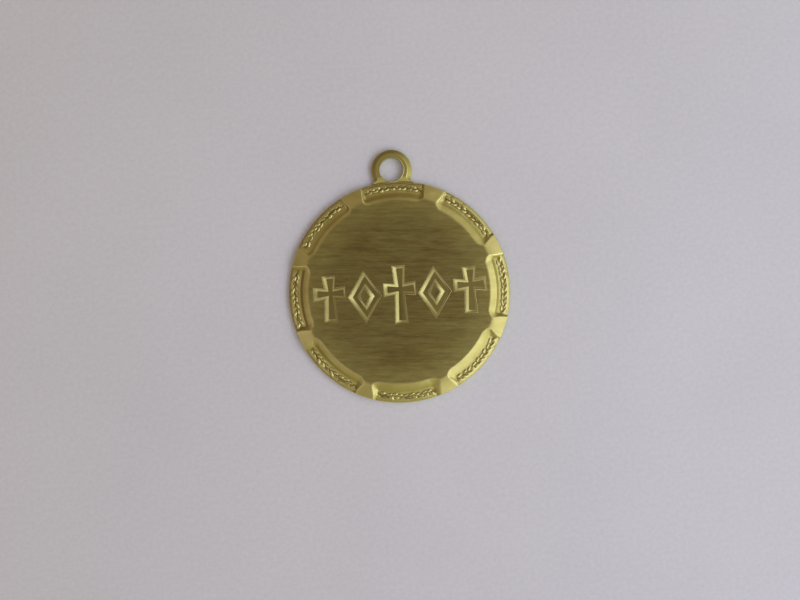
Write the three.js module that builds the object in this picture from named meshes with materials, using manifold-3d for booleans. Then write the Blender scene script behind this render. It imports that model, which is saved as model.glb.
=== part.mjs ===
// A struck brass medal with a hanging eye for a ring, chain or cord. Millimetres, +Z up.
// It lies face up on its flat back. The origin is the disc's centre on that back,
// and +Y points to the hanging eye.
//
// Two pieces: the disc, struck from sheet brass, and the eye, which sits on a flat at the
// disc's edge and is brazed there.

import * as THREE from "three";
import { mergeVertices } from "three/addons/utils/BufferGeometryUtils.js";
import Module from "manifold-3d";

// Disc
const DISC_DIAMETER = 25;
const FIELD_THICKNESS = 1.2;
const BORDER_WIDTH = 2.1; // the outer band of the face that rolls down to the edge
const BORDER_THICKNESS = 0.82; // at the outer end of that roll
const EDGE_ROUND = 0.16;
const BACK_BREAK = 0.08; // the small chamfer round the back

// Sunk panels in the border, measured on their floors
const PANEL_COUNT = 8;
const PANEL_SPAN_DEG = 31.6;
const PANEL_WIDTH = 1.22; // from the floor's inner edge out to the disc's edge
const PANEL_DEPTH = 0.45; // below the field
const PANEL_CORNER = 0.1;
const INNER_WALL_RUN = 0.34; // how far the wall towards the field leans back as it rises
const END_WALL_RUN = 0.46;
const INNER_SHOULDER_RUN = 0.75; // the soft slope from the field down to that wall's top
const END_SHOULDER_RUN = 0.3;
const SHOULDER_DROP = 0.17;

// Two rows of grains on each panel's floor
const GRAIN_PITCH = 0.68;
const GRAIN_LENGTH = 0.6;
const GRAIN_WIDTH = 0.4;
const GRAIN_HEIGHT = 0.16;
const GRAIN_TILT_DEG = 22;
const GRAIN_ROW_GAP = 0.43; // between the two rows' centre lines
const GRAIN_EDGE_MARGIN = 0.5; // from the disc's edge in to the outer row's centre line
const GRAIN_END_MARGIN = 0.26; // from a floor's end to the first grain's centre

// Band of sunk figures across the field, measured on their floors
const FIGURE_DEPTH = 0.2;
const FIGURE_WALL_RUN = 0.34;
const FIGURE_PITCH = 3.95;
const FIGURE_FALL = 0.25; // the band's middle line lies this far below the disc's centre
const FIGURE_WIDTH = 2.84;
const FIGURE_HEIGHT = 4.4;
const FIGURE_STROKE = 0.3; // where a cross's arms meet, and round a lozenge
const FIGURE_FLARE = 0.34; // how much wider a cross's arms are at their ends
const CROSS_BAR_RISE = 0.6; // a cross-bar's height above the cross's middle
const MIDDLE_CROSS_HEIGHT = 5.7;

// Hanging eye
const EYE_HOLE_DIAMETER = 2.74;
const EYE_RING_WIDTH = 0.9;
const EYE_THICKNESS = 0.9;
const EYE_ROUND = 0.3; // rounding of the ring's upper edges
const EYE_UNDER_HOLE = 0.38; // metal between the hole and the seat
const EYE_FOOT_FILLET = 0.62;
const EYE_FOOT_TOE = 0.08; // the foot's height at its two tips

// How finely round shapes are divided
const DISC_STEPS = 96;
const CURVE_STEPS = 5;
const PANEL_ARC_STEPS = 10;
const PANEL_CORNER_STEPS = 3;
const SHOULDER_STEPS = 4;
const GRAIN_STEPS = 8;
const EYE_STEPS = 14;
const CUT_CLEARANCE = 1; // how far a cutter runs past the surface that it cuts
const WELD = 1e-4;

const discRadius = DISC_DIAMETER / 2;
const panelFloor = FIELD_THICKNESS - PANEL_DEPTH;
const panelStep = (2 * Math.PI) / PANEL_COUNT;
const panelHalfSpan = THREE.MathUtils.degToRad(PANEL_SPAN_DEG / 2);

// The eye's foot spreads in a fillet on each side, and its tips lie on the disc's outline.
const eyeRingRadius = EYE_HOLE_DIAMETER / 2 + EYE_RING_WIDTH;
const eyeRise = EYE_UNDER_HOLE + EYE_HOLE_DIAMETER / 2;
const filletRise = EYE_FOOT_TOE + EYE_FOOT_FILLET;
const footHalfWidth = Math.sqrt((eyeRingRadius + EYE_FOOT_FILLET) ** 2 - (eyeRise - filletRise) ** 2);
const seatY = Math.sqrt(discRadius ** 2 - footHalfWidth ** 2) - EYE_FOOT_TOE;
const eyeCentreY = seatY + eyeRise;

const wasm = await Module();
wasm.setup();

// A closed geometry as a solid that can be cut and joined.
function solidFrom(geometry) {
  const loose = geometry.index ? geometry.toNonIndexed() : geometry;
  const shell = new THREE.BufferGeometry().setAttribute("position", loose.getAttribute("position"));
  const merged = mergeVertices(shell, WELD);
  return new wasm.Manifold(
    new wasm.Mesh({
      numProp: 3,
      vertProperties: merged.attributes.position.array,
      triVerts: new Uint32Array(merged.index.array),
    }),
  );
}

function geometryFrom(solid) {
  const mesh = solid.getMesh();
  const geometry = new THREE.BufferGeometry();
  geometry.setAttribute("position", new THREE.BufferAttribute(new Float32Array(mesh.vertProperties), 3));
  geometry.setIndex(new THREE.BufferAttribute(new Uint32Array(mesh.triVerts), 1));
  geometry.computeVertexNormals();
  return geometry;
}

// A solid through rings of points that all have the same count, from the lowest ring up.
function loft(rings) {
  const count = rings[0].points.length;
  const positions = rings.flatMap(({ points, z }) => points.flatMap((p) => [p.x, p.y, z]));
  const faces = [];
  for (let level = 0; level + 1 < rings.length; level++) {
    for (let i = 0; i < count; i++) {
      const a = level * count + i;
      const b = level * count + ((i + 1) % count);
      faces.push(a, b, b + count, a, b + count, a + count);
    }
  }
  const top = (rings.length - 1) * count;
  for (const [a, b, c] of THREE.ShapeUtils.triangulateShape(rings[0].points, [])) {
    faces.push(a, c, b);
  }
  for (const [a, b, c] of THREE.ShapeUtils.triangulateShape(rings.at(-1).points, [])) {
    faces.push(top + a, top + b, top + c);
  }
  const geometry = new THREE.BufferGeometry();
  geometry.setAttribute("position", new THREE.Float32BufferAttribute(positions, 3));
  geometry.setIndex(faces);
  return geometry;
}

// The struck blank before its panels: flat back, upright edge, sloping border and flat field.
function blankGeometry() {
  const borderStart = discRadius - BORDER_WIDTH;
  const slopeEnd = new THREE.Vector2(discRadius - EDGE_ROUND, BORDER_THICKNESS);
  const profile = new THREE.Path();
  profile.moveTo(0, 0);
  profile.lineTo(discRadius - BACK_BREAK, 0);
  profile.lineTo(discRadius, BACK_BREAK);
  profile.lineTo(discRadius, BORDER_THICKNESS - EDGE_ROUND);
  profile.quadraticCurveTo(discRadius, BORDER_THICKNESS - EDGE_ROUND / 3, slopeEnd.x, slopeEnd.y);
  profile.quadraticCurveTo(borderStart + BORDER_WIDTH / 3, FIELD_THICKNESS, borderStart, FIELD_THICKNESS);
  profile.lineTo(0, FIELD_THICKNESS);
  return new THREE.LatheGeometry(profile.getPoints(CURVE_STEPS), DISC_STEPS).rotateX(Math.PI / 2);
}

// The outline of a panel that is centred on +Y. Its floor's outline is grown towards the field by
// one distance and at its ends by another, and it runs out past the disc's edge.
function panelOutline(inward, sideways) {
  const innerRadius = discRadius - PANEL_WIDTH;
  const outerRadius = discRadius + CUT_CLEARANCE;
  const endNormal = new THREE.Vector2(Math.cos(panelHalfSpan), -Math.sin(panelHalfSpan));
  const endDirection = new THREE.Vector2(-endNormal.y, endNormal.x);
  const along = Math.sqrt((innerRadius + PANEL_CORNER) ** 2 - PANEL_CORNER ** 2);
  const corner = endDirection.clone().multiplyScalar(along).addScaledVector(endNormal, -PANEL_CORNER);
  const cornerReach = corner.clone().normalize().multiplyScalar(-PANEL_CORNER - inward);
  const outerEnd = endDirection
    .clone()
    .multiplyScalar(Math.sqrt(outerRadius ** 2 - sideways ** 2))
    .addScaledVector(endNormal, sideways);

  const half = [];
  for (let i = 0; i <= PANEL_CORNER_STEPS; i++) {
    const turn = (Math.PI / 2) * (i / PANEL_CORNER_STEPS);
    const point = corner.clone().addScaledVector(cornerReach, Math.cos(turn));
    half.push(point.addScaledVector(endNormal, (PANEL_CORNER + sideways) * Math.sin(turn)));
  }
  half.push(outerEnd);

  const mirrored = half.map((p) => new THREE.Vector2(-p.x, p.y)).reverse();
  const arc = (radius, from, to) => {
    const points = [];
    for (let i = 1; i < PANEL_ARC_STEPS; i++) {
      const angle = THREE.MathUtils.lerp(from, to, i / PANEL_ARC_STEPS);
      points.push(new THREE.Vector2(Math.cos(angle), Math.sin(angle)).multiplyScalar(radius));
    }
    return points;
  };
  return [
    ...half,
    ...arc(outerRadius, half.at(-1).angle(), mirrored[0].angle()),
    ...mirrored,
    ...arc(innerRadius - inward, mirrored.at(-1).angle(), half[0].angle()),
  ];
}

// What the die pushes down at one panel: its floor, leaning walls and the soft shoulder round it.
function panelCutter() {
  const wallTop = FIELD_THICKNESS - SHOULDER_DROP;
  const rings = [
    { points: panelOutline(0, 0), z: panelFloor },
    { points: panelOutline(INNER_WALL_RUN, END_WALL_RUN), z: wallTop },
  ];
  for (let i = 1; i <= SHOULDER_STEPS; i++) {
    const share = i / SHOULDER_STEPS;
    const inward = INNER_WALL_RUN + INNER_SHOULDER_RUN * share;
    const sideways = END_WALL_RUN + END_SHOULDER_RUN * share;
    rings.push({
      points: panelOutline(inward, sideways),
      z: wallTop + SHOULDER_DROP * (1 - (1 - share) ** 2),
    });
  }
  rings.push({ points: rings.at(-1).points, z: FIELD_THICKNESS + CUT_CLEARANCE });
  return solidFrom(loft(rings));
}

// One panel's two rows of oval grains, staggered and leaning opposite ways like a braid.
function panelGrains() {
  const grains = [];
  const outerRow = discRadius - GRAIN_EDGE_MARGIN;
  const rowSpan = 2 * (panelHalfSpan - GRAIN_END_MARGIN / outerRow);
  const gaps = Math.round((rowSpan * outerRow) / GRAIN_PITCH);
  for (const [row, radius] of [outerRow, outerRow - GRAIN_ROW_GAP].entries()) {
    for (let i = row / 2; i <= gaps; i++) {
      const turn = rowSpan * (i / gaps - 0.5);
      const grain = new THREE.SphereGeometry(1, GRAIN_STEPS, GRAIN_STEPS / 2)
        .rotateX(Math.PI / 2)
        .scale(GRAIN_LENGTH / 2, GRAIN_WIDTH / 2, GRAIN_HEIGHT)
        .rotateZ(THREE.MathUtils.degToRad(row ? GRAIN_TILT_DEG : -GRAIN_TILT_DEG))
        .translate(0, radius, panelFloor)
        .rotateZ(turn);
      grains.push(grain);
    }
  }
  return grains;
}

// A cross whose arms widen towards their ends, with its cross-bar above the middle.
function crossShape(width, height) {
  const waist = FIGURE_STROKE / 2;
  const end = waist + FIGURE_FLARE / 2;
  const rightSide = [
    [end, -height / 2],
    [waist, CROSS_BAR_RISE - waist],
    [width / 2, CROSS_BAR_RISE - end],
    [width / 2, CROSS_BAR_RISE + end],
    [waist, CROSS_BAR_RISE + waist],
    [end, height / 2],
  ];
  const leftSide = rightSide.map(([x, y]) => [-x, y]).reverse();
  return new THREE.Shape([...rightSide, ...leftSide].map(([x, y]) => new THREE.Vector2(x, y)));
}

function lozengeShape(width, height) {
  const corners = [[1, 0], [0, 1], [-1, 0], [0, -1]];
  const diamond = (w, h) => corners.map(([x, y]) => new THREE.Vector2((x * w) / 2, (y * h) / 2));
  const inner = 1 - (2 * FIGURE_STROKE * Math.hypot(width, height)) / (width * height);
  const shape = new THREE.Shape(diamond(width, height));
  shape.holes.push(new THREE.Path(diamond(width * inner, height * inner)));
  return shape;
}

// The band across the field: three crosses, the middle one taller, with a lozenge between each two.
function figureCutters() {
  const cross = crossShape(FIGURE_WIDTH, FIGURE_HEIGHT);
  const lozenge = lozengeShape(FIGURE_WIDTH, FIGURE_HEIGHT);
  const middleCross = crossShape(FIGURE_WIDTH, MIDDLE_CROSS_HEIGHT);
  return [cross, lozenge, middleCross, lozenge, cross].map((shape, i) =>
    new THREE.ExtrudeGeometry(shape, {
      depth: CUT_CLEARANCE,
      bevelThickness: FIGURE_DEPTH,
      bevelSize: FIGURE_WALL_RUN,
      bevelSegments: 1,
    }).translate((i - 2) * FIGURE_PITCH, -FIGURE_FALL, FIELD_THICKNESS),
  );
}

function discSolid() {
  let disc = solidFrom(blankGeometry());
  const cutter = panelCutter();
  const grains = panelGrains();
  for (let i = 0; i < PANEL_COUNT; i++) {
    disc = disc.subtract(cutter.rotate([0, 0, THREE.MathUtils.radToDeg(i * panelStep)]));
  }
  for (let i = 0; i < PANEL_COUNT; i++) {
    for (const grain of grains) {
      disc = disc.add(solidFrom(grain.clone().rotateZ(i * panelStep)));
    }
  }
  for (const figure of figureCutters()) {
    disc = disc.subtract(solidFrom(figure));
  }
  // The flat that the eye is brazed to.
  const flat = new THREE.BoxGeometry(DISC_DIAMETER, DISC_DIAMETER, 4 * FIELD_THICKNESS);
  return disc.subtract(solidFrom(flat.translate(0, seatY + discRadius, 0)));
}

// The ring and its spreading foot, drawn past the seat and then cut off flat there and at the back.
function eyeSolid() {
  const below = seatY - 2 * EYE_ROUND;
  const filletY = seatY + filletRise;
  const meet = Math.atan2(filletY - eyeCentreY, footHalfWidth);
  const outline = new THREE.Shape();
  outline.moveTo(-footHalfWidth, below);
  outline.lineTo(footHalfWidth, below);
  outline.lineTo(footHalfWidth, seatY + EYE_FOOT_TOE);
  outline.absarc(footHalfWidth, filletY, EYE_FOOT_FILLET, -Math.PI / 2, -Math.PI + meet, true);
  outline.absarc(0, eyeCentreY, eyeRingRadius, meet, Math.PI - meet, false);
  outline.absarc(-footHalfWidth, filletY, EYE_FOOT_FILLET, -meet, -Math.PI / 2, true);
  outline.lineTo(-footHalfWidth, below);
  const hole = new THREE.Path();
  hole.absarc(0, eyeCentreY, EYE_HOLE_DIAMETER / 2, 0, 2 * Math.PI, true);
  outline.holes.push(hole);
  const ring = new THREE.ExtrudeGeometry(outline, {
    depth: EYE_THICKNESS - EYE_ROUND,
    curveSegments: EYE_STEPS,
    bevelThickness: EYE_ROUND,
    bevelSize: EYE_ROUND,
    bevelOffset: -EYE_ROUND,
    bevelSegments: 4,
  });
  const size = 4 * eyeRingRadius + 2 * eyeRise;
  const kept = new THREE.BoxGeometry(size, size, size).translate(0, seatY + size / 2, size / 2);
  return solidFrom(ring).intersect(solidFrom(kept));
}

const struckBrass = new THREE.MeshStandardMaterial({ color: 0xa39a55, metalness: 1, roughness: 0.36 });
const polishedBrass = new THREE.MeshStandardMaterial({ color: 0xa8a05c, metalness: 1, roughness: 0.28 });

function piece(name, solid, material) {
  const mesh = new THREE.Mesh(geometryFrom(solid), material);
  mesh.name = name;
  return mesh;
}

const medal = new THREE.Group();
medal.add(piece("medal_disc", discSolid(), struckBrass));
medal.add(piece("hanging_eye", eyeSolid(), polishedBrass));

export default medal;
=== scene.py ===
"""A struck brass medal that lies face up on pale paper, seen from straight above."""

import math
import random

import bmesh
import bpy
from mathutils import Matrix, Vector, noise


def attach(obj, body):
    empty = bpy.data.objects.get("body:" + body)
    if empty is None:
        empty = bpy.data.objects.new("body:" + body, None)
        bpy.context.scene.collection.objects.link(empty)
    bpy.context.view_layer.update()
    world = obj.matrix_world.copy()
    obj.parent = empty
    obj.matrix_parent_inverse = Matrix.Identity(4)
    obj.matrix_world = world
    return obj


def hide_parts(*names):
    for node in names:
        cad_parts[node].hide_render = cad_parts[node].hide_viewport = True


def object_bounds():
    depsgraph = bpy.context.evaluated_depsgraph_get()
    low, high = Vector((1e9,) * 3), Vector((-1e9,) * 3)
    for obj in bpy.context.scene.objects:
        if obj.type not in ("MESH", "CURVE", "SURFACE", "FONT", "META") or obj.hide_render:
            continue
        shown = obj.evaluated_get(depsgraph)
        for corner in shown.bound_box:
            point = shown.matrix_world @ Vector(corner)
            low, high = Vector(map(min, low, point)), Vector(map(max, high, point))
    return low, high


MM = 0.001

# The disc, in millimetres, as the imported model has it
DISC_RADIUS = 12.5
FIELD_HEIGHT = 1.2
BORDER_START = 10.7
BORDER_END_HEIGHT = 0.82
BORDER_ROLL = 1.35
EDGE_ROUND = 0.09
EDGE_ROUND_STEPS = 6
EDGE_MIDDLE = 0.3
BACK_BREAK = 0.08
BACK_BREAK_BOW = 0.3

# How finely the face is struck: each band has a first and a last radius and its count of rings
STEPS_ROUND = 1440
WELD = 0.002
FIELD_EDGE = 9.6
FACE_BANDS = ((9.98, 10.84, 12), (10.84, 11.24, 10), (11.24, 12.3, 24))
STRUCK_FROM = 9.8
LOWEST_FACE = 0.5
BROAD_FACE = 0.3  # in square millimetres, from which a face shows no worn edges
BEND_SMOOTHINGS = 2

# A sunk panel of the border
PANEL_HALF_SPAN = math.radians(15.8)
PANEL_INNER = 11.25
PANEL_DEPTH = 0.4
PANEL_FALL = 0.2
PANEL_CORNER = 0.1
WALL_RUN = 0.3
SHOULDER_DROP = 0.21
END_SHOULDER_RUN = 0.3
LIP_SOFTNESS = 0.02
JOIN_POWER = 5  # the higher, the tighter a panel's slope joins the border's
PANEL_STRAY_DEG = 0.25
PANEL_INNER_STRAY = 0.03

# Each panel, from the one at the eye on, anticlockwise: how far the walls at its two ends lean
# back, the anticlockwise one first, how much less deep than the deepest it came out, how wide its
# shoulder is, and how softly the shoulder runs out into the field
PANELS = (
    ((0.3, 0.3), 0.06, 0.74, 1.9),
    ((0.5, 0.34), 0.08, 0.72, 1.8),
    ((0.36, 0.36), 0.0, 0.7, 1.3),
    ((0.42, 0.5), 0.01, 0.6, 1.1),
    ((0.5, 0.46), 0.03, 0.68, 1.3),
    ((0.4, 0.36), 0.06, 0.62, 1.1),
    ((0.3, 0.32), 0.0, 0.76, 1.15),
    ((0.36, 0.4), 0.04, 0.82, 1.45),
)
PANEL_COUNT = len(PANELS)

# The rim outside the grains, which stands a little proud and then rolls down to the edge
RIM_START = 11.92
RIM_RUN = 0.2
RIM_RISE = 0.075
RIM_ROLL_START = 12.1
RIM_ROLL = 0.5

# The grains on a panel's floor, which touch one another, lean and are longest across the border
GRAIN_ROWS = (12.08, 11.66)
GRAIN_GAPS = 9
GRAIN_END_MARGIN = 0.26
GRAIN_REACH = 0.3
GRAIN_SQUEEZE = (1.0, 1.7)
GRAIN_LEAN = 0.6
GRAIN_HEIGHT = 0.1
GRAIN_FLANK = 0.24
GRAIN_SKIRT = 0.04
GRAIN_CROWN = 2.5
GRAIN_SEARCH = 1.3
GRAIN_LIMIT = 0.5
GRAIN_ROW_STRETCH = 1.3

# How far single grains stray from the pattern
GRAIN_STRAY_ALONG = 0.12
GRAIN_STRAY_OUT = 0.07
GRAIN_STRAY_LEAN = 0.45
GRAIN_SQUEEZE_SHARES = (0.85, 1.15)
GRAIN_HEIGHT_SHARES = (0.4, 1.2)

# How far past its outline a floor's grains, rim and painted groove shade reach, and over what width they fade
FLOOR_REACH = 0.1
FLOOR_FADE = 0.15

# The painted shade between the grains lies between these radii and below this rise
GROOVE_SHADE_INNER = 11.52
GROOVE_SHADE_OUTER = 12.12
GROOVE_SHADE_RISE = 0.036

# The unevenness that the die left, and how deep the face is pressed where it is full
UNEVEN_DEPTH = 0.015
UNEVEN_FULL = 0.12
BROAD_WAVES = (0.55, 3.0)  # how fine they are, and where in the noise they are cut
SMALL_WAVES = (1.3, 7.0)

# The sunk figures
FIGURE_PITCH = 3.95
FIGURE_FALL = 0.25
FIGURE_WIDTH = 2.84
FIGURE_HEIGHT = 4.4
FIGURE_STROKE = 0.3
FIGURE_FLARE = 0.34
CROSS_BAR_RISE = 0.6
MIDDLE_CROSS_HEIGHT = 5.7
FIGURE_WALL_RUN = 0.34
FIGURE_FLOOR = 1.08

# The punch and the ridge that it pushes up. Each step says how far it goes in and how far on.
PUNCH_LEAN = 0.13
PUNCH_LIP = 0.04
PUNCH_STEPS = ((0.02, 0.006), (0.02, 0.012), (0.27, 0.125), (0.02, 0.008), (0.02, 0.003))
PUNCH_CLEARANCE = 0.003
PUNCH_BODY = 0.3
BURR_HEIGHT = 0.022
BURR_RUN = 0.1
BURR_BODY = 0.1
BURR_TOE = (0.02, 0.003)
BURR_TOP = (0.02, 0.002)

# The hanging eye
EYE_HOLE = 1.37
EYE_RING = 2.27
EYE_THICKNESS = 0.9
EYE_MIDDLE = 0.3
EYE_CROWN_DIP = 0.025
EYE_LIP_STEPS = ((0.0, 0.02), (0.02, 0.0), (0.05, 0.01))  # out from the hole, and below the top
EYE_CROWN_STEPS = (0.09, 0.12)  # out from the hole, where the crown begins
EYE_CROWN_END = 0.04  # the last point of the crown, short of the roll
EYE_ROLL_RUN = 0.5
EYE_ROLL_DROP = 0.23
EYE_ROLL_POWER = 1.1
EYE_ROLL_STEPS = 10
EYE_EDGE_ROUND = 0.1
EYE_EDGE_STEPS = 5
EYE_EDGE_TURNED = 0.3  # how much of the quarter turn the roll has already made
EYE_EDGE_STRETCH = 1.2
EYE_BACK_BREAK = 0.07
EYE_BACK_RUN = 0.4
EYE_HOLE_BREAK = 0.06
EYE_SHARP_ANGLE = math.radians(50)
EYE_STEPS_ROUND = 288
EYE_SECTORS = 4

# The eye's foot: a fillet on each side, whose centre lies a little below the eye's
EYE_FILLET = 0.62
EYE_FILLET_RISE = -1.05
EYE_FILLET_X = math.sqrt((EYE_RING + EYE_FILLET) ** 2 - EYE_FILLET_RISE ** 2)
EYE_FOOT_Y = 12.16
EYE_STILL = 1.57  # out to here the ring stays round, and from there it spreads into the foot
EYE_SPREAD_RUN = 0.35
EYE_UPPER = 0.4  # what lies above sinks to the seat
EYE_SINK_START = 13.1
EYE_SINK_END = 12.4

# Where the disc's rim is pressed flat under the foot
SEAT_HEIGHT = 0.7
SEAT_START = 12.2
SEAT_RUN = 0.12
SEAT_HALF_WIDTH = 3.1
SEAT_SIDE_RUN = 0.9
FOOT_RISE = 0.004

# Colours of the brass: clean, rubbed bright and painted highlight, dull, darkened by wear and painted shade,
# painted shade and reflection in hollows, and in pits and the painted shade between the grains
BRASS = (0.52, 0.488, 0.155)
BRIGHT_BRASS = (0.64, 0.62, 0.26)
DULL_BRASS = (0.45, 0.405, 0.115)
WORN_AND_SHADED_BRASS = (0.20, 0.152, 0.042)
HOLLOW_SHADE_BRASS = (0.28, 0.24, 0.05)
PATINA_AND_GROOVE_SHADE = (0.15, 0.125, 0.012)

# The painted shade on the field's middle, which stands in for the darker reflection there, is fullest within
# the first radius and gone from the second on, the figures end between their two radii, and the belt's touch
# ends between two depths
DARK_MIDDLE = (7.0, 10.8)
FIGURES_WITHIN = (10.0, 10.3)
BELT_DEPTHS = (0.03, 0.01)
FIGURE_FLOOR_BLUR = 0.02

# How much the streaks of each kind and the clouds darken the brushed face, and what comes off
# their sum, so that some of it stays clean
CLEAN_OFFSET = -0.2
BAND_SHARE = 0.24
SCUFF_SHARE = 0.34
CLOUD_SHARE = 0.24
LINE_SHARE = 0.26

# How dark the painted shade is on the field's middle, the figures' floors, the hollows and the grooves
# between the grains, and how bright the painted highlight on the figures' walls
MIDDLE_SHARE = 0.34
FIGURE_FLOOR_SHARE = 0.4
FIGURE_WALL_SHARE = 0.4
HOLLOW_SHARE = 0.6
GROOVE_SHADE_SHARE = 0.7

# The paper, with its half width and how far it lies below the medal's back
PAPER_DARK = (0.635, 0.67, 0.665)
PAPER_PALE = (0.855, 0.895, 0.89)
PAPER_HALF_WIDTH = 600.0
PAPER_GAP = 0.01

# The room's light by height above the floor, from the horizon up to straight overhead, on its far
# side, which is dim and warm, and on its near side
ROOM_LEVELS = (
    (0.0, (0.20, 0.12, 0.08), (0.76, 0.71, 0.42)),
    (0.34, (0.15, 0.095, 0.065), (0.72, 0.68, 0.38)),
    (0.55, (0.24, 0.17, 0.135), (0.62, 0.58, 0.38)),
    (0.72, (0.44, 0.335, 0.31), (0.56, 0.52, 0.45)),
    (0.84, (0.51, 0.395, 0.375), (0.58, 0.52, 0.46)),
    (0.93, (0.45, 0.345, 0.31), (0.52, 0.46, 0.40)),
    (0.975, (0.085, 0.063, 0.048), (0.10, 0.082, 0.066)),
    (1.0, (0.028, 0.022, 0.017), (0.028, 0.022, 0.017)),
)
ROOM_NEAR_TURN = math.radians(-42)
ROOM_NEAR_SPAN = (-0.5, 1.0)

# Each lamp's place and size in metres, its power in watts and its colour
LAMPS = (
    ("window", (0.1125, -0.068, 0.149), (0.1875, 0.12), 0.105, (0.96, 1.0, 1.42)),
    ("lit wall", (0.1185, 0.057, 0.149), (0.18, 0.12), 0.038, (0.98, 1.0, 1.35)),
    ("pale wall", (-0.119, -0.055, 0.21), (0.17, 0.10), 0.021, (0.97, 0.88, 1.4)),
)

# The camera: its place in millimetres, its turn about the view's axis and its lens
CAMERA_PLACE = (-0.0215, -0.886, 110.0)
CAMERA_TURN = math.radians(-3.85)
CAMERA_LENS = 43.5
SENSOR_WIDTH = 36.0
CLIP_START = 0.01

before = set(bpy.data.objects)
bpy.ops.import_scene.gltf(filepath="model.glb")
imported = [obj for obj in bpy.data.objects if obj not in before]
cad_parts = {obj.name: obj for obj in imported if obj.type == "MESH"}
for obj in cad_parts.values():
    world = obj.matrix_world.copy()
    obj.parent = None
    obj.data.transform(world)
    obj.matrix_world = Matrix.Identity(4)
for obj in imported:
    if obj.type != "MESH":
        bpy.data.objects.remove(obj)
cad_low, cad_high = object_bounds()
eye_centre = cad_high[1] / MM - EYE_RING
dice = random.Random(41)


# Materials

def node_group(name, inputs, outputs):
    """A shader group, with the sockets that hold its input values and those that it fills."""
    group = bpy.data.node_groups.new(name, "ShaderNodeTree")
    for label, value in inputs:
        socket = group.interface.new_socket(name=label, in_out="INPUT", socket_type="NodeSocketFloat")
        socket.default_value = value
    for label in outputs:
        group.interface.new_socket(name=label, in_out="OUTPUT", socket_type="NodeSocketFloat")
    return group, group.nodes.new("NodeGroupInput").outputs, group.nodes.new("NodeGroupOutput").inputs


def add(tree, kind, links=None, **values):
    """A node with its settings, its input values and its incoming links."""
    node = tree.nodes.new(kind)
    for name, value in values.items():
        setattr(node, name, value)
    for name, source in (links or {}).items():
        if isinstance(source, bpy.types.NodeSocket):
            tree.links.new(source, node.inputs[name])
        else:
            node.inputs[name].default_value = source
    return node


def math_node(tree, operation, *values, clamp=False):
    links = dict(enumerate(values))
    return add(tree, "ShaderNodeMath", links, operation=operation, use_clamp=clamp).outputs[0]


def vector_node(tree, operation, first, second):
    return add(tree, "ShaderNodeVectorMath", {0: first, 1: second}, operation=operation).outputs[0]


def ranged(tree, value, low, high, to_low=0.0, to_high=1.0, smooth=False):
    """The value carried over from one range to another, and held at its ends."""
    ends = {"From Min": low, "From Max": high, "To Min": to_low, "To Max": to_high}
    kind = "SMOOTHSTEP" if smooth else "LINEAR"
    node = add(tree, "ShaderNodeMapRange", {"Value": value, **ends}, interpolation_type=kind)
    return node.outputs["Result"]


def mixed(tree, share, first, second):
    node = add(tree, "ShaderNodeMix", {"Factor": share}, data_type="RGBA")
    for socket, value in (("A", first), ("B", second)):
        target = next(i for i in node.inputs if i.name == socket and i.type == "RGBA")
        if isinstance(value, bpy.types.NodeSocket):
            tree.links.new(value, target)
        else:
            target.default_value = (*value, 1.0)
    return next(o for o in node.outputs if o.type == "RGBA")


def object_place(tree):
    return add(tree, "ShaderNodeTexCoord").outputs["Object"]


def z_turned(tree, vector, angle):
    links = {"Vector": vector, "Angle": angle}
    return add(tree, "ShaderNodeVectorRotate", links, rotation_type="Z_AXIS").outputs[0]


def cloud_noise(tree, place, scale, **values):
    links = {"Vector": place, "Scale": scale}
    links.update({name.title(): value for name, value in values.items()})
    return add(tree, "ShaderNodeTexNoise", links).outputs["Fac"]


def attribute(tree, name):
    return add(tree, "ShaderNodeAttribute", attribute_name=name).outputs["Fac"]


def brushed_lines_group():
    """Fine lines that run along X, some of them deep, for metal that was drawn over a belt."""
    group, given, out = node_group(
        "brushed lines",
        [("Line Width", 0.1), ("Line Length", 4.0), ("Turn", 0.0)],
        ["Height", "Streaks"],
    )
    turned = z_turned(group, object_place(group), given["Turn"])
    along = math_node(group, "DIVIDE", 1 / MM, given["Line Length"])
    across = math_node(group, "DIVIDE", 1 / MM, given["Line Width"])
    stretch = add(group, "ShaderNodeCombineXYZ", {"X": along, "Y": across, "Z": along}).outputs[0]
    place = vector_node(group, "MULTIPLY", turned, stretch)
    fine = cloud_noise(group, place, 1.0, detail=3.0, roughness=0.65)
    wide = cloud_noise(group, vector_node(group, "MULTIPLY", place, (0.5, 0.3, 0.5)), 1.0, detail=2.0)
    both = math_node(group, "ADD", fine, wide)
    group.links.new(math_node(group, "MULTIPLY", both, 0.5), out["Height"])
    group.links.new(ranged(group, both, 0.75, 1.25), out["Streaks"])
    return group


def tarnish_group():
    """Clouds of darker metal, drawn out along the brushing, and a few dark pits."""
    group, given, out = node_group(
        "tarnish",
        [("Cloud Size", 4.0), ("Pit Size", 0.12), ("Pit Share", 0.06)],
        ["Clouds", "Pits"],
    )
    place = object_place(group)
    per_cloud = math_node(group, "DIVIDE", 1 / MM, given["Cloud Size"])
    drawn_out = vector_node(group, "MULTIPLY", place, (0.6, 1.2, 1.0))
    clouds = cloud_noise(group, drawn_out, per_cloud, detail=5.0, roughness=0.6)
    per_pit = math_node(group, "DIVIDE", 0.12 / MM, given["Pit Size"])
    cells = add(group, "ShaderNodeTexVoronoi", {"Vector": place, "Scale": per_pit, "Randomness": 1.0})
    lot = add(group, "ShaderNodeSeparateColor", {0: cells.outputs["Color"]}).outputs[0]
    chosen = ranged(group, lot, 0.0, given["Pit Share"], 1.0, 0.0)
    spot = ranged(group, cells.outputs["Distance"], 0.07, 0.12, 1.0, 0.0, smooth=True)
    group.links.new(ranged(group, clouds, 0.34, 0.66), out["Clouds"])
    group.links.new(math_node(group, "MULTIPLY", chosen, spot), out["Pits"])
    return group


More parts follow.
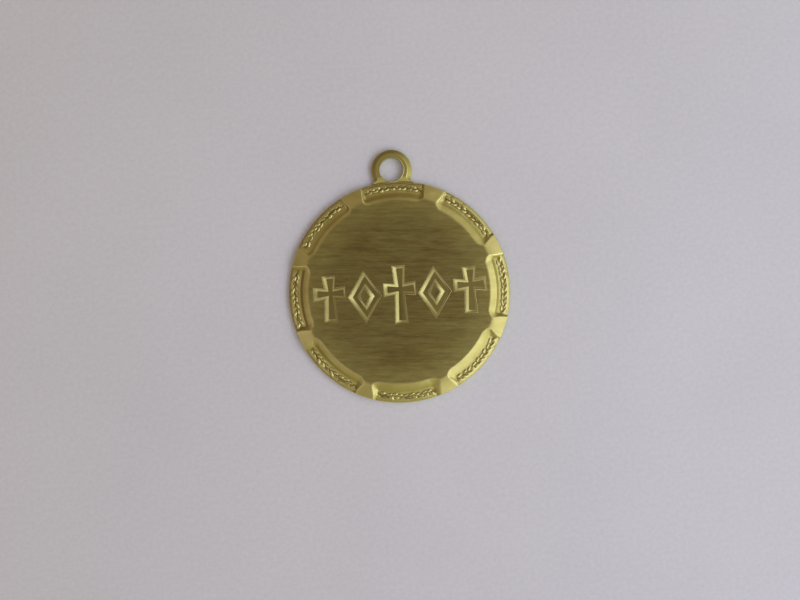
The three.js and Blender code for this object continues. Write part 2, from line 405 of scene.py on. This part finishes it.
def struck_skin_group():
    """The faint unevenness that a die leaves, the wear along raised edges, which also serves as a painted
    highlight, and the hollows, which take painted shade.
    """
    group, given, out = node_group(
        "struck skin",
        [("Grain Size", 0.25)],
        ["Height", "Worn And Sheen Edges", "Hollows"],
    )
    per_grain = math_node(group, "DIVIDE", 1 / MM, given["Grain Size"])
    bend = attribute(group, "bend")
    group.links.new(cloud_noise(group, object_place(group), per_grain, detail=3.0), out["Height"])
    group.links.new(ranged(group, bend, 0.1, 1.2), out["Worn And Sheen Edges"])
    group.links.new(ranged(group, bend, -0.1, -1.5), out["Hollows"])
    return group


GROUPS = {
    "lines": brushed_lines_group(),
    "tarnish": tarnish_group(),
    "skin": struck_skin_group(),
}


def placed(tree, key, **values):
    """The outputs of a group that is placed in a material with its own values."""
    node = tree.nodes.new("ShaderNodeGroup")
    node.node_tree = GROUPS[key]
    for name, value in values.items():
        node.inputs[name.replace("_", " ").title()].default_value = value
    return node.outputs


def face_zones(tree):
    """Masks for what the belt reached, the field's middle, and the figures' floors and walls."""
    place = object_place(tree)
    height = add(tree, "ShaderNodeSeparateXYZ", {0: place}).outputs["Z"]
    outward = add(tree, "ShaderNodeVectorMath", {0: place}, operation="LENGTH").outputs["Value"]
    belt = ranged(tree, height, *((FIELD_HEIGHT - depth) * MM for depth in BELT_DEPTHS))
    near, far = (radius * MM for radius in DARK_MIDDLE)
    # Painted shade: the field is darkened towards its middle, standing in for the darker reflection there
    middle = ranged(tree, outward, near, far, MIDDLE_SHARE, 0.0, smooth=True)
    near, far = (radius * MM for radius in FIGURES_WITHIN)
    inside = ranged(tree, outward, near, far, 1.0, 0.0)
    low, high = FIGURE_FLOOR * MM, (FIGURE_FLOOR + FIGURE_FLOOR_BLUR) * MM
    sunk = ranged(tree, height, low, high, 1.0, 0.0)
    walls = math_node(tree, "SUBTRACT", 1.0, math_node(tree, "MAXIMUM", belt, sunk))
    return {
        "belt": belt,
        "middle": middle,
        "figure floors": math_node(tree, "MULTIPLY", inside, sunk),
        "figure walls": math_node(tree, "MULTIPLY", inside, walls),
    }


def brass_colour(tree, zones, lines, tarnish, skin, line_turn, edge_wear_and_sheen, shaded_grooves):
    """Clean to dull brass, darkened where it is brushed, with painted shade on the field's middle, the
    figures' sunk floors, the hollows and between the grains, a painted highlight on the figures' walls, and
    bright edges that are rubbed and carry a painted highlight.
    """
    bands = placed(tree, "lines", line_width=0.22, line_length=7.0, turn=line_turn)["Streaks"]
    scuffs = placed(tree, "lines", line_width=0.1, line_length=0.9, turn=line_turn)["Streaks"]
    clouds = tarnish["Clouds"]
    marks = math_node(tree, "MULTIPLY_ADD", bands, BAND_SHARE, CLEAN_OFFSET)
    for mark, share in ((scuffs, SCUFF_SHARE), (clouds, CLOUD_SHARE), (lines["Streaks"], LINE_SHARE)):
        marks = math_node(tree, "MULTIPLY_ADD", mark, share, marks)
    # The brushing marks are real wear; the field's middle and the figures' floors add painted shade to the
    # same darker brass
    worn_and_shade = math_node(tree, "MULTIPLY", math_node(tree, "ADD", marks, zones["middle"]), zones["belt"])
    # Painted shade: the figures' sunk floors are darkened
    floors = zones["figure floors"]
    worn_and_shade = math_node(tree, "MULTIPLY_ADD", floors, FIGURE_FLOOR_SHARE, worn_and_shade, clamp=True)
    # Raised edges are rubbed bright by wear and also carry a painted highlight
    bright = math_node(tree, "MULTIPLY", skin["Worn And Sheen Edges"], edge_wear_and_sheen)
    # Painted highlight: the figures' walls are brightened
    walls = zones["figure walls"]
    bright = math_node(tree, "MULTIPLY_ADD", walls, FIGURE_WALL_SHARE, bright, clamp=True)
    dark = tarnish["Pits"]
    # Painted shade on the floor between the grains, in the pits' dark colour
    if shaded_grooves:
        groove_shade = math_node(tree, "MULTIPLY", attribute(tree, "groove"), GROOVE_SHADE_SHARE)
        dark = math_node(tree, "MAXIMUM", dark, groove_shade)

    colour = mixed(tree, clouds, BRASS, DULL_BRASS)
    colour = mixed(tree, worn_and_shade, colour, WORN_AND_SHADED_BRASS)
    colour = mixed(tree, bright, colour, BRIGHT_BRASS)
    # Painted shade and reflection: hollows are darkened and given a deeper yellow
    hollows = math_node(tree, "MULTIPLY", skin["Hollows"], HOLLOW_SHARE)
    colour = mixed(tree, hollows, colour, HOLLOW_SHADE_BRASS)
    return mixed(tree, dark, colour, PATINA_AND_GROOVE_SHADE)


def brass_material(name, line_depth, line_turn, base_roughness, edge_wear_and_sheen, shaded_grooves=False):
    """Brass that was struck and brushed, with its own tarnish and wear, and with painted shade and highlights
    in its colour.
    """
    material = bpy.data.materials.new(name)
    material.use_nodes = True
    tree = material.node_tree
    shader = tree.nodes["Principled BSDF"]
    shader.inputs["Metallic"].default_value = 1.0

    lines = placed(tree, "lines", line_width=0.05, line_length=14.0, turn=line_turn)
    tarnish = placed(tree, "tarnish", cloud_size=2.6, pit_size=0.13, pit_share=0.07)
    skin = placed(tree, "skin", grain_size=0.22)
    zones = face_zones(tree)
    colour = brass_colour(tree, zones, lines, tarnish, skin, line_turn, edge_wear_and_sheen, shaded_grooves)
    tree.links.new(colour, shader.inputs["Base Color"])

    streaks = math_node(tree, "MULTIPLY", lines["Streaks"], zones["belt"])
    rough = math_node(tree, "MULTIPLY_ADD", streaks, 0.10, base_roughness)
    rough = math_node(tree, "MULTIPLY_ADD", tarnish["Clouds"], 0.08, rough)
    rough = math_node(tree, "MULTIPLY_ADD", skin["Worn And Sheen Edges"], -0.08, rough, clamp=True)
    tree.links.new(rough, shader.inputs["Roughness"])

    brushed = math_node(tree, "MULTIPLY", lines["Height"], zones["belt"])
    relief = math_node(tree, "MULTIPLY", brushed, line_depth)
    relief = math_node(tree, "MULTIPLY_ADD", skin["Height"], 0.004, relief)
    relief = math_node(tree, "MULTIPLY_ADD", tarnish["Pits"], -0.02, relief)
    bump = add(tree, "ShaderNodeBump", {"Height": relief, "Strength": 1.0, "Distance": MM})
    tree.links.new(bump.outputs["Normal"], shader.inputs["Normal"])
    return material


def paper_material():
    """Matt, faintly mottled paper with short fibres."""
    material = bpy.data.materials.new("pale paper")
    material.use_nodes = True
    tree = material.node_tree
    shader = tree.nodes["Principled BSDF"]
    shader.inputs["Roughness"].default_value = 0.9
    shader.inputs["Specular IOR Level"].default_value = 0.2
    place = object_place(tree)
    fibres = cloud_noise(tree, place, 2200.0, detail=4.0)
    mottle = cloud_noise(tree, place, 45.0, detail=3.0)
    shade = math_node(tree, "MULTIPLY_ADD", mottle, 0.4, math_node(tree, "MULTIPLY", fibres, 0.6))
    tree.links.new(mixed(tree, shade, PAPER_DARK, PAPER_PALE), shader.inputs["Base Color"])
    bump = add(tree, "ShaderNodeBump", {"Height": fibres, "Strength": 0.25, "Distance": 0.05 * MM})
    tree.links.new(bump.outputs["Normal"], shader.inputs["Normal"])
    return material


# Shapes

def finish_piece(name, bm, material, node):
    """Makes the mesh an object at the origin that stands for its CAD node."""
    bmesh.ops.recalc_face_normals(bm, faces=bm.faces)
    mesh = bpy.data.meshes.new(name)
    bm.to_mesh(mesh)
    bm.free()
    mesh.materials.append(material)
    mesh.shade_smooth()
    piece = bpy.data.objects.new(name, mesh)
    bpy.context.scene.collection.objects.link(piece)
    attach(piece, "root")
    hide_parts(node)
    return piece


def spun(points, steps, sectors):
    """A bmesh of a profile, given as radius and height, turned once about Z in like sectors."""
    bm = bmesh.new()
    verts = [bm.verts.new((r * MM, 0, z * MM)) for r, z in points]
    edges = [bm.edges.new(pair) for pair in zip(verts, verts[1:])]
    turn = math.tau / sectors
    about = {"cent": (0, 0, 0), "axis": (0, 0, 1)}
    bmesh.ops.spin(bm, geom=verts + edges, angle=turn, steps=steps // sectors, use_merge=False, **about)
    sector = bm.verts[:] + bm.edges[:] + bm.faces[:]
    for k in range(1, sectors):
        copy = bmesh.ops.duplicate(bm, geom=sector)["geom"]
        moved = [g for g in copy if isinstance(g, bmesh.types.BMVert)]
        bmesh.ops.rotate(bm, cent=(0, 0, 0), matrix=Matrix.Rotation(turn * k, 3, "Z"), verts=moved)
    bmesh.ops.remove_doubles(bm, verts=bm.verts, dist=WELD * MM)
    return bm


def share_of(value, full):
    """Rises evenly from 0 to 1 while the value goes from 0 to its full size."""
    return max(0.0, min(1.0, value / full))


def smooth_share(value, full):
    """Rises softly from 0 to 1 while the value goes from 0 to its full size."""
    share = share_of(value, full)
    return share * share * (3 - 2 * share)


def border_height(radius):
    """The face between the panels: it rolls down from the field to the rounded edge."""
    if radius <= BORDER_START:
        return FIELD_HEIGHT
    reach = (radius - BORDER_START) / (DISC_RADIUS - EDGE_ROUND - BORDER_START)
    return FIELD_HEIGHT - (FIELD_HEIGHT - BORDER_END_HEIGHT) * min(reach, 1) ** BORDER_ROLL


def disc_profile():
    """The disc's section, from the field's edge over the border and the edge down to the back."""
    radii = [FIELD_EDGE]
    for first, last, count in FACE_BANDS:
        radii += [first + (last - first) * i / count for i in range(count)]
    radii.append(FACE_BANDS[-1][1])
    points = [(r, border_height(r)) for r in radii]
    for i in range(EDGE_ROUND_STEPS + 1):
        turn = math.pi / 2 * i / EDGE_ROUND_STEPS
        points.append((
            DISC_RADIUS - EDGE_ROUND * (1 - math.sin(turn)),
            BORDER_END_HEIGHT - EDGE_ROUND * (1 - math.cos(turn)),
        ))
    points.append((DISC_RADIUS, EDGE_MIDDLE))
    points.append((DISC_RADIUS, BACK_BREAK))
    points.append((DISC_RADIUS - BACK_BREAK * BACK_BREAK_BOW, BACK_BREAK * BACK_BREAK_BOW))
    points.append((DISC_RADIUS - BACK_BREAK, 0))
    return points


def wall_drop(distance, shoulder_run, roll, floor):
    """How far below the field the face lies at some distance outside a panel's floor."""
    if distance <= 0:
        return floor
    if distance < WALL_RUN:
        return floor + (SHOULDER_DROP - floor) * distance / WALL_RUN
    return SHOULDER_DROP * max(0.0, 1 - (distance - WALL_RUN) / shoulder_run) ** roll


def soft_wall_drop(distance, shoulder_run, roll, floor):
    """The same with its corners rounded a little."""
    near = [distance + LIP_SOFTNESS * k for k in (-1, -0.5, 0, 0.5, 1)]
    return sum(wall_drop(d, shoulder_run, roll, floor) for d in near) / len(near)


def strayed(limit):
    return dice.uniform(-limit, limit)


def panel_grains(half_span):
    """The grains of one panel: where each one's middle lies, its lean, its squeeze and its height."""
    grains = []
    for row, radius in enumerate(GRAIN_ROWS):
        reach = half_span - GRAIN_END_MARGIN / radius
        for i in range(GRAIN_GAPS + 1 - row):
            angle = reach * (2 * (i + row / 2) / GRAIN_GAPS - 1)
            grains.append({
                "along": angle * radius + strayed(GRAIN_STRAY_ALONG),
                "out": radius + strayed(GRAIN_STRAY_OUT),
                "lean": (1 - 2 * row) * GRAIN_LEAN + strayed(GRAIN_STRAY_LEAN),
                "squeeze": GRAIN_SQUEEZE[row] * dice.uniform(*GRAIN_SQUEEZE_SHARES),
                "height": GRAIN_HEIGHT * dice.uniform(*GRAIN_HEIGHT_SHARES),
            })
    return grains


def panel_plans():
    """Each panel's own small departures from the pattern, and where its grains lie."""
    plans = []
    for ends, shallow, shoulder, roll in PANELS:
        half_span = PANEL_HALF_SPAN + math.radians(strayed(PANEL_STRAY_DEG))
        plans.append({
            "half_span": half_span,
            "grains": panel_grains(half_span),
            "shift": math.radians(strayed(PANEL_STRAY_DEG)),
            "inner": PANEL_INNER + strayed(PANEL_INNER_STRAY),
            "depth": PANEL_DEPTH - shallow,
            "shoulder": shoulder,
            "roll": roll,
            "ends": ends,
        })
    return plans


def floor_distance(radius, angle, plan):
    """Distance outside a panel's floor, and how far its shoulder runs out in that direction."""
    inward = plan["inner"] - radius
    end_run = plan["ends"][0 if angle > 0 else 1]
    sideways = radius * math.sin(abs(angle) - plan["half_span"]) * WALL_RUN / end_run
    a, b = inward + PANEL_CORNER, sideways + PANEL_CORNER
    distance = math.hypot(max(a, 0), max(b, 0)) + min(max(a, b), 0) - PANEL_CORNER
    share = max(b, 0) / (max(a, 0) + max(b, 0) + 1e-9)
    return distance, plan["shoulder"] + (END_SHOULDER_RUN - plan["shoulder"]) * share


def floor_drop(radius, plan):
    """How far below the field a panel's floor lies: it falls outwards and rolls down at the rim."""
    outward = max(0.0, radius - PANEL_INNER) / (DISC_RADIUS - PANEL_INNER)
    return plan["depth"] + PANEL_FALL * outward + RIM_ROLL * max(0.0, radius - RIM_ROLL_START) ** 2


def waves(x, y, fineness, cut):
    return noise.noise(Vector((x, y, cut)) * fineness)


def unevenness(x, y):
    """Broad waves with smaller ones on them, from about -1 to 1."""
    return waves(x, y, *BROAD_WAVES) + 0.5 * waves(x, y, *SMALL_WAVES)


def grain_rise(radius, angle, plan):
    """How high the grains stand there: a crowned lump for each, with a sharp groove between."""
    along = angle * radius
    near = []
    for grain in plan["grains"]:
        gap = grain["along"] * radius / grain["out"] - along + grain["lean"] * (radius - grain["out"])
        if abs(gap) < GRAIN_SEARCH:
            near.append((math.hypot(gap, (grain["out"] - radius) * grain["squeeze"]), grain))
    near.sort(key=lambda pair: pair[0])
    if not near or near[0][0] > GRAIN_LIMIT:
        return 0.0
    first, grain = near[0]
    edge = GRAIN_REACH + GRAIN_SKIRT - first
    for second, other in near[1:4]:
        across = (grain["out"] - other["out"]) * GRAIN_ROW_STRETCH
        apart = math.hypot(grain["along"] - other["along"], across)
        edge = min(edge, (second ** 2 - first ** 2) / (2 * apart))
    if edge <= 0:
        return 0.0
    flank = 1 - (1 - min(edge / GRAIN_FLANK, 1)) ** 2
    return grain["height"] * flank * (1 - GRAIN_CROWN * first * first)


def strike(bm):
    """Presses the panels, their shoulders and their grains into the face."""
    plans = panel_plans()
    groove = bm.verts.layers.float.new("groove")
    step = math.tau / PANEL_COUNT
    for vert in bm.verts:
        x, y, z = (c / MM for c in vert.co)
        radius = math.hypot(x, y)
        if z < LOWEST_FACE or radius < STRUCK_FROM:
            continue
        turned = math.atan2(y, x) - math.pi / 2
        k = round(turned / step)
        plan = plans[k % PANEL_COUNT]
        angle = turned - k * step - plan["shift"]
        distance, shoulder_run = floor_distance(radius, angle, plan)

        drop = soft_wall_drop(distance, shoulder_run, plan["roll"], floor_drop(radius, plan))
        border_drop = max(0.0, FIELD_HEIGHT - z)
        drop = (drop ** JOIN_POWER + border_drop ** JOIN_POWER) ** (1 / JOIN_POWER)
        drop += UNEVEN_DEPTH * unevenness(x, y) * min(1, drop / UNEVEN_FULL)

        rise = grain_rise(radius, angle, plan) if distance < FLOOR_REACH else 0.0
        rim = smooth_share(radius - RIM_START, RIM_RUN) * share_of(FLOOR_REACH - distance, FLOOR_FADE)
        rise = max(rise, RIM_RISE * rim)
        height = FIELD_HEIGHT - drop + rise
        if y > 0:
            seated = smooth_share(SEAT_HALF_WIDTH - abs(x), SEAT_SIDE_RUN)
            seated *= smooth_share(radius - SEAT_START, SEAT_RUN)
            height += (SEAT_HEIGHT - height) * seated
        vert.co.z = height * MM

        # Where the painted shade between the grains lies: the low floor within the grain band
        within = min(FLOOR_REACH - distance, GROOVE_SHADE_OUTER - radius, radius - GROOVE_SHADE_INNER)
        vert[groove] = max(0.0, 1 - rise / GROOVE_SHADE_RISE) * share_of(within, FLOOR_FADE)


def mark_curvature(mesh):
    """Writes how sharply the face bends at each corner, per millimetre: above nought on ridges."""
    bm = bmesh.new()
    bm.from_mesh(mesh)
    bends = []
    for vert in bm.verts:
        steps = [vert.co - edge.other_vert(vert).co for edge in vert.link_edges]
        bends.append(sum(s.dot(vert.normal) / max(s.length_squared, 1e-12) for s in steps) / len(steps) * MM)
    for _ in range(BEND_SMOOTHINGS):
        bends = [
            (bends[v.index] + sum(bends[e.other_vert(v).index] for e in v.link_edges) / len(v.link_edges)) / 2
            for v in bm.verts
        ]
    values = []
    for face in bm.faces:
        broad = face.calc_area() > BROAD_FACE * MM * MM
        values += [0.0 if broad else bends[vert.index] for vert in face.verts]
    bm.free()
    mesh.attributes.new("bend", "FLOAT", "CORNER").data.foreach_set("value", values)


def cross_points(width, height):
    """A cross whose arms widen towards their ends, with its cross-bar above the middle."""
    waist = FIGURE_STROKE / 2
    end = waist + FIGURE_FLARE / 2
    right = [
        (end, -height / 2),
        (waist, CROSS_BAR_RISE - waist),
        (width / 2, CROSS_BAR_RISE - end),
        (width / 2, CROSS_BAR_RISE + end),
        (waist, CROSS_BAR_RISE + waist),
        (end, height / 2),
    ]
    return right + [(-x, y) for x, y in reversed(right)]


def lozenge_points(width, height):
    return [(width / 2, 0), (0, height / 2), (-width / 2, 0), (0, -height / 2)]


def offset_outline(points, distance):
    """The closed outline moved out by a distance, with mitred corners."""
    count = len(points)
    moved = []
    for i in range(count):
        before, here, after = (Vector(points[(i + k) % count]) for k in (-1, 0, 1))
        n1 = (here - before).normalized()
        n2 = (after - here).normalized()
        a, b = Vector((n1.y, -n1.x)), Vector((n2.y, -n2.x))
        mitre = (a + b) / (1 + a.dot(b))
        moved.append(here + mitre * distance)
    return moved


def stepped_solid(bm, outer, hole, x, offset, base, end, steps, lean=0.0):
    """A solid from a figure's outline, moved out, that ends in steps which each go in and on."""
    def ring(points, distance):
        moved = offset_outline(points, distance)
        return [bm.verts.new(((p.x + x) * MM, p.y * MM, base * MM)) for p in moved]

    rim = ring(outer, offset)
    if hole:
        inner = ring(hole, -offset)
        corners = zip(rim, inner, inner[1:] + inner[:1], rim[1:] + rim[:1])
        cap = [bm.faces.new(quad) for quad in corners]
    else:
        cap = [bm.faces.new(rim[::-1])]
    if end > base:
        bmesh.ops.reverse_faces(bm, faces=cap)
    grown = bmesh.ops.extrude_face_region(bm, geom=cap)["geom"]
    faces = [g for g in grown if isinstance(g, bmesh.types.BMFace)]
    verts = [g for g in grown if isinstance(g, bmesh.types.BMVert)]
    bmesh.ops.translate(bm, vec=(0, 0, (end - base) * MM), verts=verts)
    for inset, on in steps:
        bm.normal_update()
        sizes = {"thickness": inset * MM, "depth": on * MM}
        bmesh.ops.inset_region(bm, faces=faces, use_even_offset=True, use_boundary=True, **sizes)
        if inset > FIGURE_WALL_RUN / 2:
            far_end = {vert for face in faces for vert in face.verts}
            bmesh.ops.translate(bm, vec=(lean * MM, 0, 0), verts=list(far_end))


def build_punch(bm, outer, hole, x):
    """The punch: an upper lip, the leaning wall, and the floor's soft corner."""
    offset = FIGURE_WALL_RUN + PUNCH_LIP
    lip_top = FIELD_HEIGHT + BURR_HEIGHT + PUNCH_CLEARANCE
    stepped_solid(bm, outer, hole, x, offset, lip_top + PUNCH_BODY, lip_top, PUNCH_STEPS, PUNCH_LEAN)


def build_burr(bm, outer, hole, x):
    """The low ridge of metal that the punch pushed up round a figure: its toe, flank and top."""
    offset = FIGURE_WALL_RUN + BURR_RUN
    flank = (BURR_RUN - BURR_TOE[0] - BURR_TOP[0], BURR_HEIGHT - BURR_TOE[1] - BURR_TOP[1])
    steps = (BURR_TOE, flank, BURR_TOP)
    stepped_solid(bm, outer, hole, x, offset, FIELD_HEIGHT - BURR_BODY, FIELD_HEIGHT, steps)


def figure_tool(name, build):
    """The five figures of the band, each a closed solid, as one object that cuts or joins."""
    cross = cross_points(FIGURE_WIDTH, FIGURE_HEIGHT)
    tall = cross_points(FIGURE_WIDTH, MIDDLE_CROSS_HEIGHT)
    lozenge = lozenge_points(FIGURE_WIDTH, FIGURE_HEIGHT)
    size = FIGURE_WIDTH * FIGURE_HEIGHT
    inner = 1 - 2 * FIGURE_STROKE * math.hypot(FIGURE_WIDTH, FIGURE_HEIGHT) / size
    hole = [(px * inner, py * inner) for px, py in lozenge]
    figures = ((cross, None), (lozenge, hole), (tall, None), (lozenge, hole), (cross, None))
    bm = bmesh.new()
    for i, (outline, gap) in enumerate(figures):
        build(bm, outline, gap, (i - 2) * FIGURE_PITCH)
    bmesh.ops.translate(bm, vec=(0, -FIGURE_FALL * MM, 0), verts=bm.verts)
    bmesh.ops.recalc_face_normals(bm, faces=bm.faces)
    mesh = bpy.data.meshes.new(name)
    bm.to_mesh(mesh)
    bm.free()
    mesh.shade_smooth()
    tool = bpy.data.objects.new(name, mesh)
    bpy.context.scene.collection.objects.link(tool)
    return tool


def medal_disc(material):
    """The disc: its border struck, then the figures' ridges joined and the figures punched."""
    bm = spun(disc_profile(), STEPS_ROUND, PANEL_COUNT)
    strike(bm)
    open_edges = [e for e in bm.edges if e.is_boundary]
    bmesh.ops.holes_fill(bm, edges=open_edges, sides=0)
    disc = finish_piece("struck_disc", bm, material, "medal_disc")
    tools = (figure_tool("burrs", build_burr), "UNION"), (figure_tool("punches", build_punch), "DIFFERENCE")
    for tool, operation in tools:
        change = disc.modifiers.new(tool.name, "BOOLEAN")
        change.operation = operation
        change.object = tool
        change.solver = "EXACT"
    solid = disc.evaluated_get(bpy.context.evaluated_depsgraph_get())
    cut_mesh = bpy.data.meshes.new_from_object(solid)
    disc.modifiers.clear()
    disc.data = cut_mesh
    for tool, _ in tools:
        bpy.data.objects.remove(tool)
    mark_curvature(cut_mesh)
    smooth = disc.modifiers.new("flat field", "WEIGHTED_NORMAL")
    smooth.mode = "FACE_AREA"
    smooth.weight = 60
    smooth.keep_sharp = True


def eye_profile():
    """The ring's section, from the hole's lower edge round by the outside and back."""
    top = EYE_THICKNESS
    crown = top - EYE_CROWN_DIP
    roll_start = EYE_RING - EYE_ROLL_RUN
    points = [(EYE_HOLE, EYE_MIDDLE)]
    points += [(EYE_HOLE + out, top - dip) for out, dip in EYE_LIP_STEPS]
    points += [(EYE_HOLE + out, crown) for out in EYE_CROWN_STEPS]
    points += [(roll_start - EYE_CROWN_END, crown), (roll_start, crown)]
    for i in range(1, EYE_ROLL_STEPS + 1):
        share = i / EYE_ROLL_STEPS
        out = roll_start + (EYE_ROLL_RUN - EYE_EDGE_ROUND) * share
        points.append((out, crown - EYE_ROLL_DROP * share ** EYE_ROLL_POWER))

    first = math.pi / 2 * EYE_EDGE_TURNED
    for i in range(1, EYE_EDGE_STEPS + 1):
        turn = math.pi / 2 * (EYE_EDGE_TURNED + (1 - EYE_EDGE_TURNED) * i / EYE_EDGE_STEPS)
        fall = (math.cos(first) - math.cos(turn)) * EYE_EDGE_STRETCH
        points.append((
            EYE_RING - EYE_EDGE_ROUND * (1 - math.sin(turn)) / (1 - math.sin(first)),
            crown - EYE_ROLL_DROP - EYE_EDGE_ROUND * fall,
        ))
    points += [(EYE_RING, EYE_MIDDLE), (EYE_RING, EYE_BACK_BREAK), (EYE_RING - EYE_BACK_BREAK, 0.0)]
    points += [(EYE_RING - EYE_BACK_RUN, 0.0), (EYE_HOLE + EYE_HOLE_BREAK, 0.0)]
    points.append((EYE_HOLE, EYE_HOLE_BREAK))
    return points


def eye_reach(angle):
    """How far the eye's outline lies from its centre: a ring whose foot spreads on both sides."""
    c, s = abs(math.cos(angle)), math.sin(angle)
    seat = (eye_centre - EYE_FOOT_Y) / max(-s, 1e-6)
    along = c * EYE_FILLET_X + s * EYE_FILLET_RISE
    off = c * EYE_FILLET_RISE - s * EYE_FILLET_X
    meet = math.atan2(EYE_FILLET_RISE, EYE_FILLET_X)
    here = math.atan2(s, c)
    if here >= meet:
        return EYE_RING
    if abs(off) < EYE_FILLET:
        return along - math.sqrt(EYE_FILLET ** 2 - off ** 2)
    return seat


def hanging_eye(material):
    """The eye: a ring whose outer part is pulled out into the foot and sunk onto the seat."""
    points = eye_profile()
    bm = spun(points + points[:1], EYE_STEPS_ROUND, EYE_SECTORS)
    foot_drop = EYE_THICKNESS - EYE_CROWN_DIP - SEAT_HEIGHT - FOOT_RISE
    for vert in bm.verts:
        radius = vert.co.xy.length / MM
        angle = math.atan2(vert.co.y, vert.co.x)
        pull = share_of(radius - EYE_STILL, EYE_SPREAD_RUN)
        reach = radius + pull * (eye_reach(angle) - EYE_RING)
        vert.co.x = reach * math.cos(angle) * MM
        vert.co.y = (eye_centre + reach * math.sin(angle)) * MM
        if vert.co.z / MM > EYE_UPPER:
            sink = smooth_share(EYE_SINK_START - vert.co.y / MM, EYE_SINK_START - EYE_SINK_END)
            vert.co.z -= foot_drop * sink * MM
    ring = finish_piece("eye_ring", bm, material, "hanging_eye")
    ring.data.set_sharp_from_angle(angle=EYE_SHARP_ANGLE)
    mark_curvature(ring.data)


def paper_sheet(material):
    bm = bmesh.new()
    bmesh.ops.create_grid(bm, x_segments=2, y_segments=2, size=PAPER_HALF_WIDTH * MM)
    bmesh.ops.translate(bm, vec=(0, 0, -PAPER_GAP * MM), verts=bm.verts)
    mesh = bpy.data.meshes.new("paper")
    bm.to_mesh(mesh)
    bm.free()
    mesh.materials.append(material)
    sheet = bpy.data.objects.new("paper", mesh)
    bpy.context.scene.collection.objects.link(sheet)


# Light and view

def soft_lamp(name, place, size, power, colour):
    """A soft rectangle of light that points at the medal."""
    data = bpy.data.lights.new(name, "AREA")
    data.shape = "RECTANGLE"
    data.size, data.size_y = size
    data.energy = power
    data.color = colour
    lamp = bpy.data.objects.new(name, data)
    lamp.visible_camera = False
    lamp.location = place
    lamp.rotation_euler = (-Vector(place)).to_track_quat("-Z", "Y").to_euler()
    bpy.context.scene.collection.objects.link(lamp)


def level_ramp(tree, height, side):
    ramp = add(tree, "ShaderNodeValToRGB", {0: height})
    first, last = ramp.color_ramp.elements
    first.color = (*ROOM_LEVELS[0][side], 1)
    last.color = (*ROOM_LEVELS[-1][side], 1)
    for level in ROOM_LEVELS[1:-1]:
        ramp.color_ramp.elements.new(level[0]).color = (*level[side], 1)
    return ramp.outputs[0]


def room_light():
    """A plain room: dark straight overhead, lighter at the sides."""
    world = bpy.data.worlds.new("room")
    world.use_nodes = True
    bpy.context.scene.world = world
    tree = world.node_tree
    tree.nodes.clear()
    direction = add(tree, "ShaderNodeTexCoord").outputs["Generated"]
    height = add(tree, "ShaderNodeSeparateXYZ", {0: direction}).outputs["Z"]
    turned = z_turned(tree, direction, -ROOM_NEAR_TURN)
    across = add(tree, "ShaderNodeSeparateXYZ", {0: turned}).outputs["X"]
    near = ranged(tree, across, *ROOM_NEAR_SPAN)
    light = mixed(tree, near, level_ramp(tree, height, 1), level_ramp(tree, height, 2))
    background = add(tree, "ShaderNodeBackground", {"Color": light})
    out = add(tree, "ShaderNodeOutputWorld")
    tree.links.new(background.outputs[0], out.inputs[0])


def overhead_camera():
    data = bpy.data.cameras.new("camera")
    data.lens = CAMERA_LENS
    data.sensor_width = SENSOR_WIDTH
    data.clip_start = CLIP_START
    camera = bpy.data.objects.new("camera", data)
    camera.location = Vector(CAMERA_PLACE) * MM
    camera.rotation_euler = (0, 0, CAMERA_TURN)
    bpy.context.scene.collection.objects.link(camera)
    bpy.context.scene.camera = camera


overhead_camera()
paper_sheet(paper_material())
medal_disc(brass_material(
    "struck brass", line_depth=0.003, line_turn=0.067, base_roughness=0.32, edge_wear_and_sheen=0.7, shaded_grooves=True
))
hanging_eye(brass_material(
    "eye brass", line_depth=0.002, line_turn=0.4, base_roughness=0.37, edge_wear_and_sheen=0.2
))
room_light()
for lamp in LAMPS:
    soft_lamp(*lamp)
bpy.context.scene.view_settings.view_transform = "Standard"
